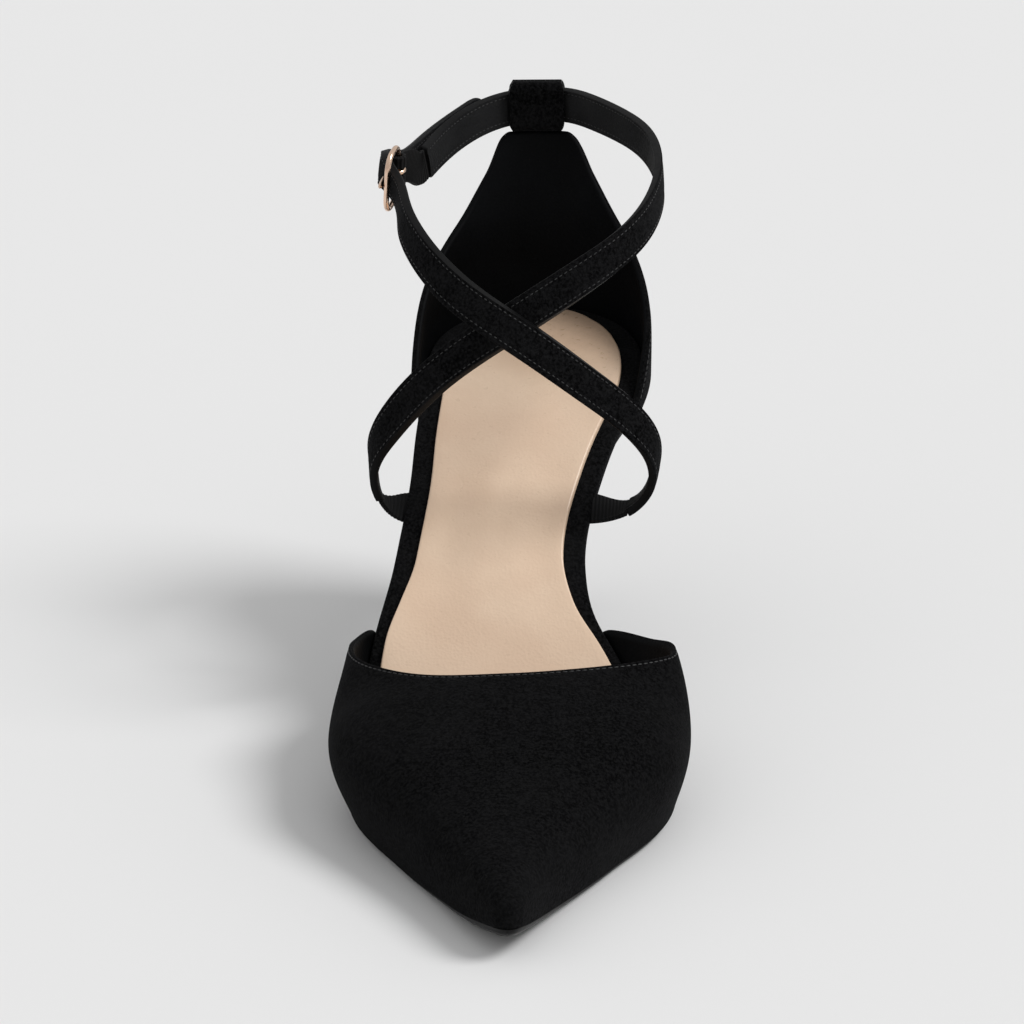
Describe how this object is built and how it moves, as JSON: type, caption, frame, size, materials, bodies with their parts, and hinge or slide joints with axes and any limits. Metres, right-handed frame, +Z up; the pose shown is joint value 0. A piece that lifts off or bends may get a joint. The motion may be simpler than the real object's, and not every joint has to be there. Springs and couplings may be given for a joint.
{
  "type": "high heel shoe",
  "caption": "Right suede high heel with a pointed toe, open sides, closed heel cup, slim stiletto heel and crossed ankle straps held by a small buckle.",
  "frame": {"origin": "middle of the flat tread under the ball of the foot, on the floor", "axes": "+Z up, toe towards -Y and heel towards +Y, inner side of the foot towards +X and outer side with the buckle towards -X"},
  "size_m": [0.0841, 0.2379, 0.1383],
  "materials": {
    "suede": "black suede with a fine short nap",
    "sock_leather": "beige smooth leather, soft satin",
    "sole": "thin black sole with a glossy edge",
    "top_lift": "black, hard, satin",
    "elastic": "black ribbed elastic",
    "buckle_metal": "polished rose gold"
  },
  "bodies": {
    "root": {"outsole": "sole", "insole_board": "suede", "insole_sock": "sock_leather", "vamp": "suede", "counter": "suede", "heel": "suede", "heel_tip": "top_lift", "back_loop": "suede", "strap_over": "suede", "strap_under": "suede", "elastic_medial": "elastic", "elastic_lateral": "elastic", "elastic_buckle": "elastic", "buckle_frame": "buckle_metal", "buckle_prong": "buckle_metal"}
  },
  "joints": []
}
